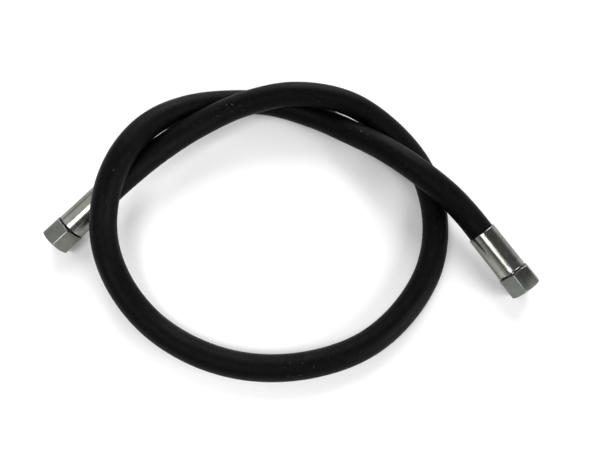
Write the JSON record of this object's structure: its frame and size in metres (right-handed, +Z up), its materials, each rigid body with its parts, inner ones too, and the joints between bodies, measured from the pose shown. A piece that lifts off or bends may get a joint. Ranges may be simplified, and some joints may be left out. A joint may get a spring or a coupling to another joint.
{
  "type": "hydraulic hose assembly",
  "caption": "Black rubber hydraulic hose lying in one tucked loop, with a crimped steel ferrule and a loose hexagon swivel nut on each end.",
  "frame": {"origin": "on the surface that the hose lies on, below the middle of the box round the two end fittings", "axes": "+Z up from the surface; +X the way that end b points in plan; end a points close to -Y"},
  "size_m": [0.2778, 0.2704, 0.0537],
  "materials": {
    "cover_rubber": "dull black cloth-wrapped rubber",
    "tube_rubber": "smooth black nitrile",
    "braid_wire": "brass-coated steel wire braid",
    "zinc_steel": "bright zinc plate, crimped",
    "nut_steel": "grey zinc plate",
    "spring_wire": "drawn spring wire",
    "seal_rubber": "satin nitrile"
  },
  "bodies": {
    "hose": {"inner_tube": "tube_rubber", "inner_wire_braid": "braid_wire", "braid_separator": "tube_rubber", "outer_wire_braid": "braid_wire", "hose_cover": "cover_rubber", "ferrule_a": "zinc_steel", "stem_a": "zinc_steel", "thrust_wire_a": "spring_wire", "cone_o_ring_a": "seal_rubber", "ferrule_b": "zinc_steel", "stem_b": "zinc_steel", "thrust_wire_b": "spring_wire", "cone_o_ring_b": "seal_rubber"},
    "nut_a": {"swivel_nut_a": "nut_steel"},
    "nut_b": {"swivel_nut_b": "nut_steel"}
  },
  "joints": [
    {"name": "swivel_nut_a_turn", "type": "hinge", "parent": "hose", "child": "nut_a", "pos_m": [-0.11253, -0.1244, 0.01256], "axis": [0.0853, -0.9744, -0.2079], "continuous": true},
    {"name": "swivel_nut_b_turn", "type": "hinge", "parent": "hose", "child": "nut_b", "pos_m": [0.11677, 0.122, 0.01217], "axis": [0.9877, 0, -0.1564], "continuous": true}
  ]
}
